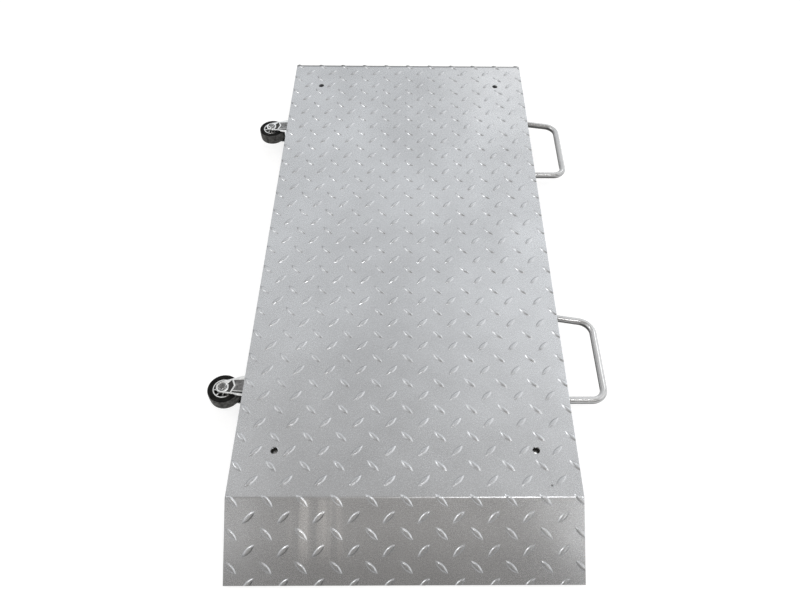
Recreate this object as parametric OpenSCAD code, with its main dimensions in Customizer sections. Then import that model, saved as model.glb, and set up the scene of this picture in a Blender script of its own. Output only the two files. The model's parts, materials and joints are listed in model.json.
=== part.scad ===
// Low livestock weighing platform. A chequer plate deck with a folded ramp lies on a welded channel
// frame, which stands on four load cells with levelling feet. Two casters on the left side and two
// bar handles on the right side let one person tip it up and roll it away.
// Lengths are in millimetres, +Z is up, the floor is at zero and the ramp is at the -Y end.

/* [Deck] */
// width of the deck
deck_width = 600; // [500:10:800]
// length of the flat deck, from the ramp's fold to the rear edge
deck_length = 1210; // [1000:10:1500]
// how much farther the rear edge lies from the fittings than the ramp's fold does
rear_margin = 10; // [0:1:20]
// height of the deck's top over the floor
deck_height = 84; // [80:1:110]
// thickness of the plate without its tread
plate_thickness = 4; // [3:0.5:6]
// inner radius of the plate's folds
fold_radius = 4; // [2:0.5:6]
// level distance from the fold to the ramp's tip
ramp_run = 122; // [100:1:180]
// height of the ramp's tip over the floor
ramp_gap = 8; // [6:0.5:12]
// height of the skirt folded down at the rear edge
skirt_height = 62; // [40:1:68]
// diameter of the access holes over the feet
access_hole_d = 13; // [10:0.5:20]

/* [Frame] */
// how far the deck overhangs each side rail
edge_overhang = 1; // [0:0.5:10]
// how far the rails and the front end channel stop short of the ramp's fold
end_inset = 10; // [8:1:30]
// height of the channels
channel_height = 63; // [40:1:66]
// width of the channels' flanges
channel_width = 40; // [25:1:42]
// wall thickness of the channels
channel_wall = 5; // [3:0.5:6]
// outer corner radius of the channels
channel_corner = 6; // [5:0.5:8]
// distance from the middle of a handle to the outer face of the cross member by it
cross_offset = 18; // [10:1:40]
// weld gap left where a cross member is cut back inside a rail
cope_gap = 3; // [1:0.5:6]
// thickness of the ribs under the ramp
gusset_thickness = 5; // [3:0.5:8]

/* [Load cells] */
// distance from a side of the deck to the feet's axes
foot_side_inset = 72; // [50:1:100]
// distance from the ramp's fold to the front feet's axes
foot_end_inset = 84; // [50:1:125]
// length of a load cell
cell_length = 130; // [110:1:150]
// width of a load cell
cell_width = 32; // [26:1:38]
// height of a load cell
cell_height = 32; // [26:1:36]
// distance from a load cell's end to its first hole
cell_end = 16; // [14:0.5:20]
// distance between a load cell's two fixing bolts
cell_bolt_pitch = 26; // [24:1:32]
// diameter of the round gauge pockets in a load cell's sides
cell_pocket_d = 22; // [14:1:24]
// depth of the gauge pockets
cell_pocket_depth = 9; // [4:0.5:11]
// thickness of the pad between a load cell and the deck
pad_thickness = 12; // [10:1:16]
// width of the pad
pad_width = 40; // [34:1:50]
// diameter of the load cells' bolts
cell_bolt_d = 12; // [10:1:14]
// size across the flats of the load cells' bolt heads
cell_bolt_flats = 18; // [16:1:21]
// height of the load cells' bolt heads
cell_bolt_head = 7.5; // [6:0.5:9]
// thickness of the load cells' washers
washer_thickness = 2.5; // [1.5:0.5:3]
// diameter of the load cells' washers
washer_d = 24; // [20:1:26]

/* [Feet] */
// diameter of the levelling studs
stud_d = 11.9; // [9.9:0.5:13.9]
// diameter of the boss that holds a stud in its cup
stud_boss_d = 20; // [16:1:24]
// height of the stud's boss
stud_boss = 4; // [3:0.5:5]
// width of the screwdriver slot in a stud's top
stud_slot = 2; // [1.5:0.5:3]
// height of the lock nuts under the load cells
lock_nut_height = 7; // [5:0.5:8]
// size across the flats of the lock nuts
lock_nut_flats = 18; // [16:1:21]
// diameter of the foot cups
cup_d = 40; // [34:1:46]
// height of the foot cups
cup_height = 10; // [9:0.5:12]
// diameter of the rubber pads
foot_pad_d = 44; // [38:1:50]
// thickness of the rubber pads
foot_pad = 6; // [4:0.5:8]

/* [Handles] */
// diameter of the handle bar
bar_d = 14; // [10:0.5:18]
// distance between a handle's legs at the rail
handle_legs = 190; // [140:1:220]
// distance from the deck's edge to the grip's axis
handle_reach = 75; // [60:1:100]
// depth of the handles' axis below the deck's top
handle_drop = 30; // [24:1:40]
// bend radius of the bar's axis at the leg by the ramp
handle_bend = 24; // [18:1:30]
// bend radius of the bar's axis at the leaning leg
handle_far_bend = 31; // [24:1:36]
// lean of the leg that is farther from the ramp, in degrees
handle_lean = 10; // [0:1:20]
// distance from the ramp's fold to the middle of the front handle
handle_inset = 294; // [200:1:350]
// how far a leg passes through the rail's web
leg_tail = 6; // [2:0.5:12]

/* [Casters] */
// diameter of the wheels
wheel_d = 60; // [50:1:70]
// width of the wheels
wheel_width = 28; // [20:1:30]
// rounding of the tyre's shoulders
tyre_round = 4; // [2:0.5:6]
// diameter of the wheel core
core_d = 40; // [34:1:42]
// thickness of the wheel core's rim
core_rim = 3; // [2:0.5:4]
// thickness of the wheel core's web
core_web = 5; // [4:0.5:8]
// diameter of the wheel core's boss
core_boss_d = 19; // [16:1:22]
// thickness of the wheel core's ribs
core_rib = 3; // [2:0.5:4]
// distance from the deck's edge to a caster's axle
caster_offset = 45; // [40:1:60]
// depth of the wheels' middle below the deck's top
caster_drop = 41; // [38:1:44]
// distance from the ramp's fold to the front caster
caster_inset = 223; // [180:1:240]
// distance from a caster's axle to the middle of its base plate, away from the ramp
caster_trail = 4; // [0:1:8]
// length of a caster's base plate
caster_plate_length = 70; // [68:1:80]
// height of a caster's base plate
caster_plate_height = 44; // [40:1:50]
// thickness of a caster's base plate
caster_plate = 4; // [2:0.5:5]
// thickness of a caster's legs
leg_thickness = 2.5; // [2:0.5:4]
// height of the pressed rim around a leg
leg_rim = 1.5; // [0.5:0.5:2]
// width of the pressed rim around a leg
leg_rim_width = 2; // [1:0.5:3]
// width of a leg where it joins the base plate
leg_root = 44; // [36:1:44]
// radius of a leg's round end
leg_end_r = 12.5; // [10:0.5:14]
// side gap between a leg and the wheel
wheel_gap = 1.5; // [1:0.5:3]
// diameter of the casters' fixing bolts
caster_bolt_d = 5; // [4:0.5:6]
// size across the flats of the casters' fixing bolts and nuts
caster_bolt_flats = 8; // [7:0.5:9]
// height of the casters' fixing bolt heads and nuts
caster_bolt_head = 3.5; // [3:0.5:5]
// distance of the fixing bolts from the caster's middle, along the rail
caster_bolt_y = 28; // [28:0.5:30]
// distance of the fixing bolts from the caster's middle, up and down
caster_bolt_z = 14; // [10:0.5:16]
// diameter of the axle bolts
axle_d = 8; // [6:0.5:9]
// size across the flats of the axle bolts and nuts
axle_flats = 13; // [10:0.5:14]
// height of the axle bolts' heads and nuts
axle_head = 5; // [4:0.5:7]
// wall of the sleeves between the legs
sleeve_wall = 2; // [1.5:0.5:3]

/* [Junction box] */
// width of the junction box
box_width = 120; // [100:1:140]
// length of the junction box
box_length = 90; // [80:1:110]
// depth of the junction box without its lid
box_depth = 38; // [34:1:42]
// wall thickness of the junction box
box_wall = 3; // [2:0.5:4]
// distance from the centre cross member to the junction box
box_gap = 40; // [20:1:80]
// thickness of the lid
lid_thickness = 3; // [2:0.5:4]
// thickness of the gasket
gasket_thickness = 1.5; // [1:0.5:2]
// diameter of the corner posts that take the lid screws
post_d = 9; // [8:0.5:12]
// diameter of the lid screws
lid_screw_d = 4; // [3:0.5:5]
// diameter of the lid screws' heads
lid_screw_head_d = 7; // [6:0.5:8]
// height of the lid screws' heads
lid_screw_head = 2.5; // [2:0.5:3]
// thickness of the summing board
board_thickness = 1.6; // [1:0.2:2.4]
// height of the pillars that carry the summing board
pillar_height = 8; // [6:0.5:10]
// diameter of the pillars
pillar_d = 6; // [5:0.5:8]
// height of the terminal blocks
terminal_height = 9; // [7:0.5:11]
// width of a terminal block
terminal_width = 14; // [10:0.5:15]
// diameter of the glands' threads
gland_d = 12; // [10:0.5:14]
// size across the flats of the glands
gland_flats = 16; // [14:0.5:18]
// length of a gland outside the box
gland_length = 18; // [14:0.5:24]
// thickness of the glands' nuts inside the box
gland_nut = 4; // [3:0.5:5]
// diameter of the studs that hold the box under the deck
box_stud_d = 5; // [4:0.5:6]
// size across the flats of the box studs' nuts
box_nut_flats = 8; // [7:0.5:9]
// height of the box studs' nuts
box_nut = 3; // [2.5:0.5:4]

/* [Clearances] */
// radial clearance of a moving shaft in its hole
running_fit = 0.05; // [0.03:0.01:0.08]
// radial clearance of a screw in its thread
thread_fit = 0.1; // [0.05:0.05:0.2]
// radial clearance of a bolt in a plain hole
bolt_fit = 0.3; // [0.2:0.1:0.6]
// clearance around the stud's boss in its cup
boss_fit = 0.35; // [0.3:0.05:0.5]
// overrun of the cuts
cut_over = 1; // [0.5:0.5:2]

/* [Hidden] */
$fn = 48;

paint = [0.74, 0.75, 0.77];
zinc = [0.70, 0.71, 0.72];
nickel = [0.62, 0.62, 0.60];
black_rubber = [0.06, 0.06, 0.06];
grey_plastic = [0.55, 0.56, 0.57];
board_green = [0.10, 0.35, 0.20];

// ribs across the ramp, as shares of its width
gusset_shares = [-0.5, -0.25, 0, 0.25, 0.5];
// where a rib starts and ends along the ramp, as shares of the slope
gusset_start_share = 0.16;
gusset_end_share = 0.82;
// glands on the box's sides, as shares of its length
gland_shares = [-0.22, 0.22];
// box studs and board pillars, as shares of the box's width and length
box_stud_share = 0.3;
pillar_shares = [0.34, 0.26];
// size of the summing board, the terminal blocks' pitch and their length, as shares of the box
board_shares = [0.76, 0.66];
terminal_pitch_share = 0.14;
terminal_length_share = 0.3;
// how far a bolt goes into its pad, how far one passes its nut's inner face, a gland's hexagon
bolt_grip_share = 0.9;
bolt_tail_share = 1.4;
gland_hex_share = 0.35;
// steps of a fold and of a handle's bend, and sides of the handle's bar
fold_steps = 8;
bend_steps = 8;
bar_sides = 24;
// ribs of a wheel core, and their width as a share of the wheel's
rib_count = 8;
rib_share = 0.6;

// plate, with its fittings laid out evenly about y = 0
layout_length = deck_length - rear_margin;
fold_y = -layout_length / 2;
rear_edge = fold_y + deck_length;
fold_outer = fold_radius + plate_thickness;
ramp_drop = deck_height - ramp_gap;
ramp_slope = atan2(ramp_drop, ramp_run);
ramp_length = sqrt(ramp_run * ramp_run + ramp_drop * ramp_drop);
fold_tangent = fold_outer * tan(ramp_slope / 2);
underside = deck_height - plate_thickness;

// frame
rail_face = deck_width / 2 - edge_overhang;
rail_inner = rail_face - channel_wall;
frame_end = layout_length / 2 - end_inset;
frame_bottom = underside - channel_height;
rib_face = rail_face - gusset_thickness / 2;
handle_position = layout_length / 2 - handle_inset;
cross_position = handle_position + cross_offset;

// load cells and feet
foot_spacing_x = deck_width - 2 * foot_side_inset;
foot_spacing_y = layout_length - 2 * foot_end_inset;
foot_x = foot_spacing_x / 2;
foot_y = foot_spacing_y / 2;
cell_top = underside - pad_thickness;
cell_bottom = cell_top - cell_height;
pad_length = 2 * cell_end + cell_bolt_pitch;
cell_bolt_r = cell_bolt_d / 2;
stud_r = stud_d / 2;
stud_bore_r = stud_r + running_fit;
cup_floor = foot_pad + (cup_height - stud_boss - boss_fit) / 2;
stud_top = cell_top + stud_boss;

// handles
handle_z = deck_height - handle_drop;
grip_x = deck_width / 2 + handle_reach;
leg_start = rail_inner - leg_tail;
bar_r = bar_d / 2;
lean_tangent = handle_far_bend * tan((90 - handle_lean) / 2);
lean_shift = (grip_x - rail_face) * tan(handle_lean);

// casters
caster_position = layout_length / 2 - caster_inset;
axle_x = -(deck_width / 2 + caster_offset);
wheel_z = deck_height - caster_drop;
plate_face = -rail_face - caster_plate;
axle_reach = plate_face - axle_x;
fork_half = wheel_width / 2 + wheel_gap;
fork_outer = fork_half + leg_thickness;
sleeve_r = axle_d / 2 + thread_fit + sleeve_wall;
core_r = core_d / 2;

// junction box
box_y = channel_width + box_gap + box_length / 2;
box_floor = underside - box_wall;
box_open = underside - box_depth;
board_top = box_floor - pillar_height;
pillar_x = pillar_shares[0] * box_width;
pillar_y = pillar_shares[1] * box_length;
post_x = (box_width - box_wall - post_d) / 2;
post_y = (box_length - box_wall - post_d) / 2;
gland_z = underside - box_depth / 2;
gland_r = gland_d / 2;

// Moves the layout back, so that the frame's origin lies under the middle of the whole length.
module in_frame() {
    translate([0, (ramp_run - rear_margin) / 2, 0])
        children();
}

// A hexagon of a given size across the flats, standing on z = 0.
module hexagon(flats, height) {
    cylinder(r = flats / sqrt(3), h = height, $fn = 6);
}

// Points of an arc in a section plane, about a centre, by angle from straight up towards the right.
function arc(centre, r, from, to) =
    [for (step = [0:fold_steps])
        let (angle = from + (to - from) * step / fold_steps)
        centre + r * [sin(angle), cos(angle)]];

// Deck plate: one sheet, folded down to the ramp in front and to a skirt at the rear.
module deck_plate() {
    front_centre = [fold_y + fold_tangent, deck_height - fold_outer];
    rear_centre = [rear_edge - fold_outer, deck_height - fold_outer];
    tip = [fold_y - ramp_run, ramp_gap];
    skirt_low = deck_height - skirt_height;
    profile = concat(
        [tip],
        arc(front_centre, fold_outer, -ramp_slope, 0),
        arc(rear_centre, fold_outer, 0, 90),
        [[rear_edge, skirt_low], [rear_edge - plate_thickness, skirt_low]],
        arc(rear_centre, fold_radius, 90, 0),
        arc(front_centre, fold_radius, 0, -ramp_slope),
        [tip + plate_thickness * [sin(ramp_slope), -cos(ramp_slope)]]);
    color(paint)
    difference() {
        translate([-deck_width / 2, 0, 0])
            rotate([90, 0, 90])
                linear_extrude(deck_width)
                    polygon(profile);
        for (x = [-foot_x, foot_x], y = [-foot_y, foot_y])
            translate([x, y, underside - cut_over])
                cylinder(d = access_hole_d, h = plate_thickness + 2 * cut_over);
    }
}

// Cross-section of a channel: web on the left, flanges to the right.
module channel_section() {
    difference() {
        union() {
            translate([channel_corner, 0])
                square([channel_width - channel_corner, channel_height]);
            translate([0, channel_corner])
                square([channel_width, channel_height - 2 * channel_corner]);
            for (y = [channel_corner, channel_height - channel_corner])
                translate([channel_corner, y])
                    circle(r = channel_corner);
        }
        translate([channel_wall, channel_wall])
            square([channel_width, channel_height - 2 * channel_wall]);
    }
}

// Side rail on the left, with its web outwards.
module rail() {
    translate([-rail_face, frame_end, frame_bottom])
        rotate([90, 0, 0])
            linear_extrude(2 * frame_end)
                channel_section();
}

// Places its children at a caster's fixing bolts, pointing out of the left rail.
module at_caster_bolts() {
    for (caster = [-1, 1], y = [-1, 1], z = [-1, 1])
        translate([-rail_face, caster * caster_position + caster_trail + y * caster_bolt_y,
            wheel_z + z * caster_bolt_z])
            rotate([0, -90, 0])
                children();
}

// Left rail: carries the casters.
module left_side_rail() {
    color(paint)
    difference() {
        rail();
        at_caster_bolts()
            translate([0, 0, -channel_wall - cut_over])
                cylinder(r = caster_bolt_d / 2 + bolt_fit, h = channel_wall + 2 * cut_over);
    }
}

// Right rail: the handles' legs pass through its web.
module right_side_rail() {
    color(paint)
    difference() {
        mirror([1, 0, 0])
            rail();
        for (side = [-1, 1])
            translate([0, side * handle_position, handle_z]) {
                translate([rail_inner - cut_over, -handle_legs / 2, 0])
                    rotate([0, 90, 0])
                        cylinder(r = bar_r + bolt_fit, h = channel_wall + 2 * cut_over);
                translate([rail_face, handle_legs / 2, 0])
                    rotate([0, 90, -handle_lean])
                        translate([0, 0, -channel_width / 2])
                            cylinder(r = bar_r + bolt_fit, h = channel_width);
            }
    }
}

// Cross member with its web at y = 0 and its flanges towards +Y. Its ends are cut back to the web's
// middle, so that they pass between the rails' flanges.
module cross_member() {
    cope_height = channel_wall + cope_gap;
    cope_length = channel_width - channel_wall + cope_gap;
    difference() {
        translate([-rail_inner, 0, frame_bottom])
            rotate([90, 0, 90])
                linear_extrude(2 * rail_inner)
                    channel_section();
        for (side = [-1, 1], z = [frame_bottom - cut_over, underside - cope_height])
            translate([side * (rail_inner + cut_over - (cope_length + cut_over) / 2), 0, z])
                translate([-(cope_length + cut_over) / 2, -cut_over, 0])
                    cube([cope_length + cut_over, channel_width + 2 * cut_over, cope_height + cut_over]);
    }
}

module front_end_channel() {
    color(paint)
    translate([0, -frame_end, 0])
        cross_member();
}

module rear_end_channel() {
    color(paint)
    mirror([0, 1, 0])
        translate([0, -frame_end, 0])
            cross_member();
}

module front_cross_member() {
    color(paint)
    translate([0, -cross_position, 0])
        cross_member();
}

module centre_cross_member() {
    color(paint)
    cross_member();
}

module rear_cross_member() {
    color(paint)
    mirror([0, 1, 0])
        translate([0, -cross_position, 0])
            cross_member();
}

// Ribs under the ramp: each one stands on the front end channel's web and follows the ramp's underside.
module ramp_gussets() {
    ramp_start = gusset_start_share * ramp_length;
    ramp_end = gusset_end_share * ramp_length;
    under_y = fold_y + plate_thickness * sin(ramp_slope);
    under_z = deck_height - plate_thickness * cos(ramp_slope);
    start_y = under_y - ramp_start * cos(ramp_slope);
    start_z = under_z - ramp_start * sin(ramp_slope);
    end_y = under_y - ramp_end * cos(ramp_slope);
    end_z = under_z - ramp_end * sin(ramp_slope);
    root_low = max(frame_bottom + channel_corner, end_z);
    color(paint)
    for (share = gusset_shares)
        translate([2 * share * rib_face - gusset_thickness / 2, 0, 0])
            rotate([90, 0, 90])
                linear_extrude(gusset_thickness)
                    polygon([[-frame_end, root_low], [-frame_end, start_z],
                        [start_y, start_z], [end_y, end_z]]);
}

// Stations of a bend in the handle's bar: place and heading, by headings in degrees from +X to +Y.
function bend(centre, r, from, to) =
    [for (step = [0:bend_steps])
        let (heading = from + (to - from) * step / bend_steps)
        concat(centre + r * [sin(heading), -cos(heading)], heading)];

// Round bar along stations in a level plane, as one skin with flat ends.
module bent_bar(stations, r) {
    ring = [0:bar_sides - 1];
    last = len(stations) - 1;
    points = [for (at = stations, place = ring)
        let (turn = 360 * place / bar_sides)
        [at[0] + r * cos(turn) * sin(at[2]), at[1] - r * cos(turn) * cos(at[2]), r * sin(turn)]];
    sides = [for (row = [0:last - 1], place = ring)
        let (next = (place + 1) % bar_sides, low = row * bar_sides, high = low + bar_sides)
        each [[low + place, low + next, high + next], [low + place, high + next, high + place]]];
    ends = [[for (place = ring) bar_sides - 1 - place], [for (place = ring) last * bar_sides + place]];
    polyhedron(points, concat(sides, ends));
}

// Handle: a bar bent to a U. Its leg by the ramp is square to the rail and the other one leans.
module handle() {
    near = -handle_legs / 2;
    far = handle_legs / 2 - lean_shift;
    lean_heading = 180 - handle_lean;
    far_tail = [leg_start, handle_legs / 2 + (rail_face - leg_start) * tan(handle_lean)];
    color(paint)
    translate([0, 0, handle_z])
        bent_bar(concat(
            [[leg_start, near, 0]],
            bend([grip_x - handle_bend, near + handle_bend], handle_bend, 0, 90),
            bend([grip_x - handle_far_bend, far - lean_tangent], handle_far_bend, 90, lean_heading),
            [concat(far_tail, lean_heading)]), bar_r);
}

module front_handle() {
    translate([0, -handle_position, 0])
        handle();
}

module rear_handle() {
    translate([0, handle_position, 0])
        handle();
}

// Places its children at one foot's axis, with +Y towards the deck's middle.
module at_foot(side, end) {
    translate([side * foot_x, end * foot_y, 0])
        rotate([0, 0, end > 0 ? 180 : 0])
            children();
}

// Places its children at a load cell's two fixing bolts, counted from the foot's axis.
module at_cell_bolts() {
    first = cell_length - 2 * cell_end;
    for (y = [first, first - cell_bolt_pitch])
        translate([0, y, 0])
            children();
}

// Pad welded under the deck, with threaded holes for the load cell's bolts.
module cell_pad(side, end) {
    color(paint)
    at_foot(side, end)
        difference() {
            translate([-pad_width / 2, cell_length - cell_end - pad_length, cell_top])
                cube([pad_width, pad_length, pad_thickness]);
            at_cell_bolts()
                translate([0, 0, cell_top - cut_over])
                    cylinder(r = cell_bolt_r + thread_fit, h = pad_thickness + 2 * cut_over);
        }
}

module front_left_pad() {
    cell_pad(-1, -1);
}

module front_right_pad() {
    cell_pad(1, -1);
}

module rear_left_pad() {
    cell_pad(-1, 1);
}

module rear_right_pad() {
    cell_pad(1, 1);
}

// Load cell: a shear beam with gauge pockets in its sides, two fixing holes and a hole for the stud.
module load_cell(side, end) {
    pocket_y = (cell_length - 2 * cell_end - cell_bolt_pitch) / 2;
    color(nickel)
    at_foot(side, end)
        difference() {
            translate([-cell_width / 2, -cell_end, cell_bottom])
                cube([cell_width, cell_length, cell_height]);
            translate([0, 0, cell_bottom - cut_over])
                cylinder(r = stud_bore_r, h = cell_height + 2 * cut_over);
            at_cell_bolts()
                translate([0, 0, cell_bottom - cut_over])
                    cylinder(r = cell_bolt_r + bolt_fit, h = cell_height + 2 * cut_over);
            for (turn = [-90, 90])
                translate([0, pocket_y, cell_bottom + cell_height / 2])
                    rotate([0, turn, 0])
                        translate([0, 0, cell_width / 2 - cell_pocket_depth])
                            cylinder(d = cell_pocket_d, h = cell_pocket_depth + cut_over);
        }
}

module front_left_cell() {
    load_cell(-1, -1);
}

module front_right_cell() {
    load_cell(1, -1);
}

module rear_left_cell() {
    load_cell(-1, 1);
}

module rear_right_cell() {
    load_cell(1, 1);
}

// Bolts that hold the load cells up against their pads.
module cell_bolts() {
    head_z = cell_bottom - washer_thickness;
    color(zinc)
    for (side = [-1, 1], end = [-1, 1])
        at_foot(side, end)
            at_cell_bolts() {
                translate([0, 0, head_z - cell_bolt_head])
                    hexagon(cell_bolt_flats, cell_bolt_head);
                translate([0, 0, head_z])
                    cylinder(r = cell_bolt_r, h = cell_top + bolt_grip_share * pad_thickness - head_z);
            }
}

module cell_washers() {
    color(zinc)
    for (side = [-1, 1], end = [-1, 1])
        at_foot(side, end)
            at_cell_bolts()
                translate([0, 0, cell_bottom - washer_thickness])
                    difference() {
                        cylinder(d = washer_d, h = washer_thickness);
                        translate([0, 0, -cut_over])
                            cylinder(r = cell_bolt_r + bolt_fit, h = washer_thickness + 2 * cut_over);
                    }
}

// Lock nuts of the studs, tight against the load cells.
module lock_nuts() {
    color(zinc)
    for (side = [-1, 1], end = [-1, 1])
        at_foot(side, end)
            translate([0, 0, cell_bottom - lock_nut_height])
                difference() {
                    hexagon(lock_nut_flats, lock_nut_height);
                    translate([0, 0, -cut_over])
                        cylinder(r = stud_bore_r, h = lock_nut_height + 2 * cut_over);
                }
}

// Levelling stud: its boss turns in the foot's cup and its slotted top lies under the access hole.
module foot_stud(side, end) {
    color(zinc)
    at_foot(side, end)
        difference() {
            union() {
                translate([0, 0, cup_floor])
                    cylinder(d = stud_boss_d, h = stud_boss);
                translate([0, 0, cup_floor])
                    cylinder(r = stud_r, h = stud_top - cup_floor);
            }
            translate([-stud_d, -stud_slot / 2, stud_top - stud_slot])
                cube([2 * stud_d, stud_slot, stud_slot + cut_over]);
        }
}

module front_left_stud() {
    foot_stud(-1, -1);
}

module front_right_stud() {
    foot_stud(1, -1);
}

module rear_left_stud() {
    foot_stud(-1, 1);
}

module rear_right_stud() {
    foot_stud(1, 1);
}

// Foot cup: holds the stud's boss.
module foot_cup(side, end) {
    color(zinc)
    at_foot(side, end)
        difference() {
            translate([0, 0, foot_pad])
                cylinder(d = cup_d, h = cup_height);
            translate([0, 0, cup_floor])
                cylinder(r = stud_boss_d / 2 + boss_fit, h = stud_boss + boss_fit);
            translate([0, 0, cup_floor])
                cylinder(r = stud_r + boss_fit, h = cup_height);
        }
}

module front_left_cup() {
    foot_cup(-1, -1);
}

module front_right_cup() {
    foot_cup(1, -1);
}

module rear_left_cup() {
    foot_cup(-1, 1);
}

module rear_right_cup() {
    foot_cup(1, 1);
}

// Rubber pad under a foot cup.
module rubber_pad(side, end) {
    color(black_rubber)
    at_foot(side, end)
        cylinder(d = foot_pad_d, h = foot_pad);
}

module front_left_foot_pad() {
    rubber_pad(-1, -1);
}

module front_right_foot_pad() {
    rubber_pad(1, -1);
}

module rear_left_foot_pad() {
    rubber_pad(-1, 1);
}

module rear_right_foot_pad() {
    rubber_pad(1, 1);
}

// Places its children at the junction box's middle, under the deck.
module at_box() {
    translate([0, box_y, 0])
        children();
}

// Places its children at the junction box's four lid screws.
module at_posts() {
    for (x = [-post_x, post_x], y = [-post_y, post_y])
        translate([x, y, 0])
            children();
}

// Places its children at the glands, pointing out of the box's walls.
module at_glands() {
    for (turn = [-90, 90], share = gland_shares)
        translate([0, share * box_length, gland_z])
            rotate([0, turn, 0])
                translate([0, 0, box_width / 2])
                    children();
    translate([0, box_length / 2, gland_z])
        rotate([-90, 0, 0])
            children();
}

// A block in the box's middle plane: size, and the height of its lower face.
module box_block(width, length, low, height) {
    translate([-width / 2, -length / 2, low])
        cube([width, length, height]);
}

// Junction box: open downwards, with corner posts for the lid and pillars for the board.
module junction_box() {
    color(grey_plastic)
    at_box()
        difference() {
            union() {
                difference() {
                    box_block(box_width, box_length, box_open, box_depth);
                    box_block(box_width - 2 * box_wall, box_length - 2 * box_wall,
                        box_open - cut_over, box_depth - box_wall + cut_over);
                }
                at_posts()
                    translate([0, 0, box_open])
                        cylinder(d = post_d, h = box_depth);
                for (x = [-1, 1], y = [-1, 1])
                    translate([x * pillar_x, y * pillar_y, board_top])
                        cylinder(d = pillar_d, h = pillar_height + box_wall);
            }
            at_posts()
                translate([0, 0, box_open - cut_over])
                    cylinder(r = lid_screw_d / 2 + thread_fit, h = box_depth - box_wall);
            for (x = [-1, 1])
                translate([x * box_stud_share * box_width, 0, box_floor - cut_over])
                    cylinder(r = box_stud_d / 2 + bolt_fit, h = box_wall + 2 * cut_over);
            at_glands()
                translate([0, 0, -box_wall - cut_over])
                    cylinder(r = gland_r + bolt_fit, h = box_wall + 2 * cut_over);
        }
}

// Gasket between the box and its lid.
module box_gasket() {
    color(black_rubber)
    at_box()
        difference() {
            box_block(box_width, box_length, box_open - gasket_thickness, gasket_thickness);
            box_block(box_width - 2 * (box_wall + post_d), box_length - 2 * (box_wall + post_d),
                box_open - gasket_thickness - cut_over, gasket_thickness + 2 * cut_over);
            at_posts()
                translate([0, 0, box_open - gasket_thickness - cut_over])
                    cylinder(r = lid_screw_d / 2 + bolt_fit, h = gasket_thickness + 2 * cut_over);
        }
}

// Lid under the junction box.
module box_lid() {
    lid_low = box_open - gasket_thickness - lid_thickness;
    color(grey_plastic)
    at_box()
        difference() {
            box_block(box_width, box_length, lid_low, lid_thickness);
            at_posts()
                translate([0, 0, lid_low - cut_over])
                    cylinder(r = lid_screw_d / 2 + bolt_fit, h = lid_thickness + 2 * cut_over);
        }
}

// Lid screws, driven up into the corner posts.
module lid_screws() {
    lid_low = box_open - gasket_thickness - lid_thickness;
    color(zinc)
    at_box()
        at_posts() {
            translate([0, 0, lid_low - lid_screw_head])
                cylinder(d = lid_screw_head_d, h = lid_screw_head);
            translate([0, 0, lid_low])
                cylinder(d = lid_screw_d, h = box_open + box_depth / 2 - lid_low);
        }
}

// Summing board, carried by the box's pillars.
module summing_board() {
    color(board_green)
    at_box()
        box_block(board_shares[0] * box_width, board_shares[1] * box_length,
            board_top - board_thickness, board_thickness);
}

// Terminal blocks on the board, one for each load cell and one for the signal lead.
module terminal_blocks() {
    color(grey_plastic)
    at_box()
        for (place = [-2:2])
            translate([place * terminal_pitch_share * box_width, board_shares[1] * box_length / 2, 0])
                translate([-terminal_width / 2, -terminal_length_share * box_length,
                    board_top - board_thickness - terminal_height])
                    cube([terminal_width, terminal_length_share * box_length, terminal_height]);
}

// Cable glands: body and cap outside the box, nut inside.
module cable_glands() {
    color(grey_plastic)
    at_box()
        at_glands() {
            translate([0, 0, -box_wall - gland_nut])
                cylinder(r = gland_r, h = box_wall + gland_nut);
            translate([0, 0, -box_wall - gland_nut])
                hexagon(gland_flats, gland_nut);
            hexagon(gland_flats, gland_hex_share * gland_length);
            cylinder(d = gland_flats, h = gland_length);
        }
}

// Studs welded under the deck, with the nuts that hold the junction box up.
module box_studs() {
    nut_low = box_floor - box_nut;
    stud_low = (nut_low + board_top) / 2;
    color(zinc)
    at_box()
        for (x = [-1, 1])
            translate([x * box_stud_share * box_width, 0, 0]) {
                translate([0, 0, stud_low])
                    cylinder(d = box_stud_d, h = underside - stud_low);
                translate([0, 0, nut_low])
                    hexagon(box_nut_flats, box_nut);
            }
}

// Where the straight edge of a caster's leg, from one side of its root, meets its round end.
function leg_touch(side, end_r) =
    let (turn = atan2(side, axle_reach) + sign(side) * acos(end_r / norm([axle_reach, side])))
    [end_r * cos(turn) - axle_reach, end_r * sin(turn)];

// Plan of a caster's leg: square to the base plate at x = 0 and round about the axle at y = 0.
module leg_plan(inset) {
    low = caster_trail - leg_root / 2 + inset;
    high = caster_trail + leg_root / 2 - inset;
    end_r = leg_end_r - inset;
    translate([-axle_reach, 0])
        circle(r = end_r);
    polygon([[0, low], [0, high], leg_touch(high, end_r), [-axle_reach, 0], leg_touch(low, end_r)]);
}

// Upper leg of a caster, with a pressed rim along its edge.
module caster_leg() {
    difference() {
        linear_extrude(leg_thickness + leg_rim)
            leg_plan(0);
        translate([0, 0, leg_thickness])
            linear_extrude(leg_rim + cut_over)
                leg_plan(leg_rim_width);
        translate([-axle_reach, 0, -cut_over])
            cylinder(r = axle_d / 2 + bolt_fit, h = leg_thickness + 2 * cut_over);
    }
}

// Caster bracket: base plate and two legs.
module caster_bracket(end) {
    color(zinc)
    difference() {
        translate([plate_face, end * caster_position, wheel_z]) {
            translate([0, caster_trail - caster_plate_length / 2, -caster_plate_height / 2])
                cube([caster_plate, caster_plate_length, caster_plate_height]);
            for (side = [0, 1])
                mirror([0, 0, side])
                    translate([0, 0, fork_half])
                        caster_leg();
        }
        at_caster_bolts()
            translate([0, 0, -cut_over])
                cylinder(r = caster_bolt_d / 2 + bolt_fit, h = caster_plate + 2 * cut_over);
    }
}

module front_caster_bracket() {
    caster_bracket(-1);
}

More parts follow.
